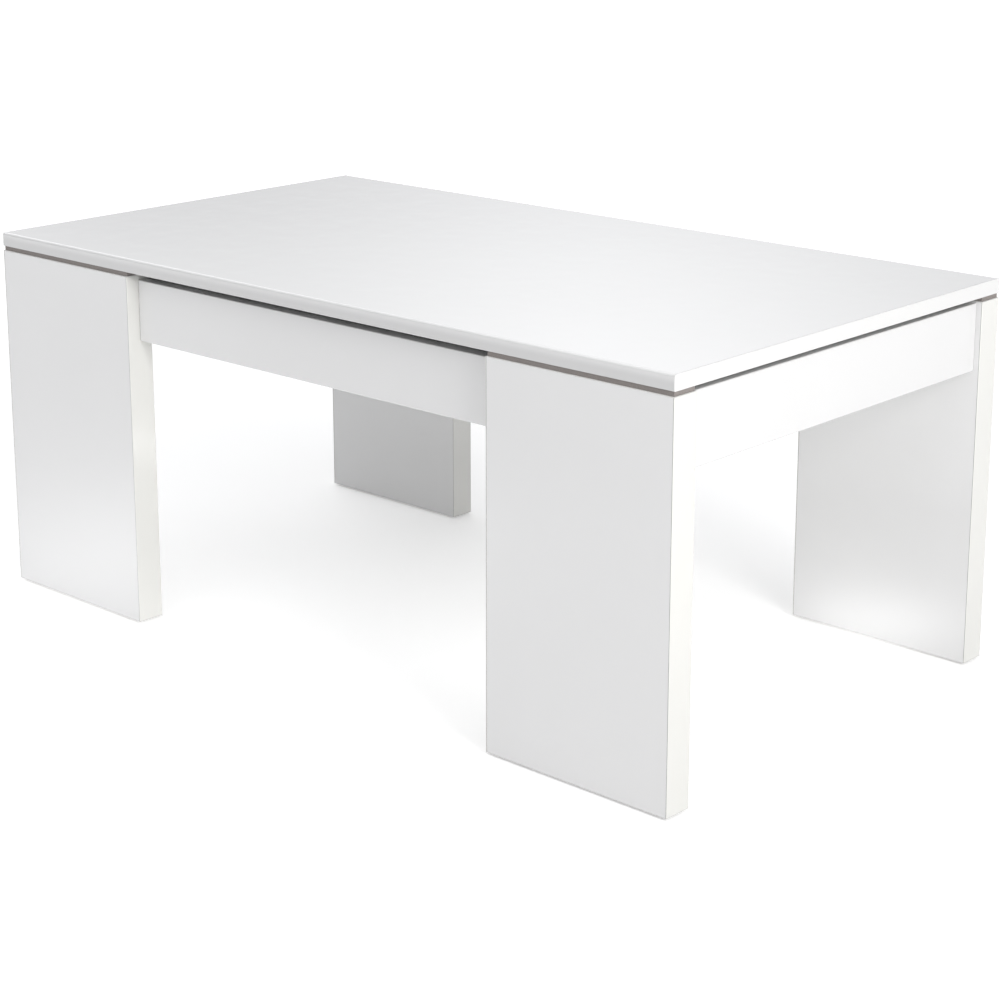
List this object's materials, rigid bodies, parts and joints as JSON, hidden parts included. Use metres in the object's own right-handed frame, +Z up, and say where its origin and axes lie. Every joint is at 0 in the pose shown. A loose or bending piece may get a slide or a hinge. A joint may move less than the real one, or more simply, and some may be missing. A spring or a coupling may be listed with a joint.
{
  "type": "lift top coffee table",
  "caption": "Low rectangular coffee table with broad slab legs and a top that lifts and slides towards the user on paired swinging arms over a shallow storage box.",
  "frame": {"origin": "centre of the closed table's footprint, on the floor", "axes": "+X along the long side, +Y from the user's side to the far side, +Z up"},
  "size_m": [1, 0.56, 0.43],
  "materials": {
    "white_gloss_board": "high-gloss white lacquer on wood board",
    "white_edge_band": "gloss white edge band",
    "white_melamine": "white melamine on chipboard",
    "beech": "fluted beech, unfinished",
    "zinc_fitting": "bright zinc plated",
    "white_plastic": "moulded, semi-gloss",
    "foam_strip": "matt grey-brown foam rubber strip",
    "grey_coated_steel": "grey powder coat, fine texture",
    "bright_steel": "turned, zinc plated",
    "spring_steel": "oiled spring wire",
    "black_nylon": "moulded nylon"
  },
  "bodies": {
    "base": {"leg_front_left": "white_gloss_board", "leg_front_right": "white_gloss_board", "leg_rear_left": "white_gloss_board", "leg_rear_right": "white_gloss_board", "apron_front": "white_gloss_board", "apron_rear": "white_gloss_board", "apron_left": "white_gloss_board", "apron_right": "white_gloss_board", "storage_floor": "white_melamine", "dowels": "beech", "cam_locks": "zinc_fitting", "cam_bolts": "zinc_fitting", "cam_caps": "white_plastic", "leg_glides": "white_plastic", "glide_nails": "zinc_fitting", "top_bumpers": "foam_strip", "lift_base_left": "grey_coated_steel", "lift_base_right": "grey_coated_steel", "torsion_spring_left": "spring_steel", "torsion_spring_right": "spring_steel", "front_pivot_pins": "bright_steel", "rear_pivot_pins": "bright_steel", "pivot_washers": "bright_steel", "open_stop_studs": "bright_steel", "base_plate_screws": "zinc_fitting"},
    "front_arms": {"front_arm_left": "grey_coated_steel", "front_arm_right": "grey_coated_steel", "front_arm_bushes": "black_nylon", "cross_tube": "grey_coated_steel", "arm_spring_studs": "bright_steel"},
    "rear_arm_left": {"rear_arm_left": "grey_coated_steel", "rear_arm_bushes_left": "black_nylon"},
    "rear_arm_right": {"rear_arm_right": "grey_coated_steel", "rear_arm_bushes_right": "black_nylon"},
    "top": {"table_top": "white_gloss_board", "top_edge_bands": "white_edge_band", "top_rail_left": "grey_coated_steel", "top_rail_right": "grey_coated_steel", "top_rail_screws": "zinc_fitting", "top_pins_front": "bright_steel", "top_pins_rear": "bright_steel"}
  },
  "joints": [
    {"name": "lift", "type": "hinge", "parent": "base", "child": "front_arms", "pos_m": [0, -0.1, 0.368], "axis": [1, 0, 0], "range_deg": [0, 110.5], "deforming": ["torsion_spring_left", "torsion_spring_right"]},
    {"name": "rear_arm_left_pivot", "type": "hinge", "parent": "base", "child": "rear_arm_left", "pos_m": [0, 0, 0.368], "axis": [1, 0, 0], "range_deg": [0, 110.5]},
    {"name": "rear_arm_right_pivot", "type": "hinge", "parent": "base", "child": "rear_arm_right", "pos_m": [0, 0, 0.368], "axis": [1, 0, 0], "range_deg": [0, 110.5]},
    {"name": "top_level", "type": "hinge", "parent": "front_arms", "child": "top", "pos_m": [0, 0.05757, 0.39578], "axis": [1, 0, 0], "range_deg": [-110.5, 0]}
  ],
  "couplings": [
    {"joint": "rear_arm_left_pivot", "follows": "lift", "ratio": 1},
    {"joint": "rear_arm_right_pivot", "follows": "lift", "ratio": 1},
    {"joint": "top_level", "follows": "lift", "ratio": -1}
  ]
}
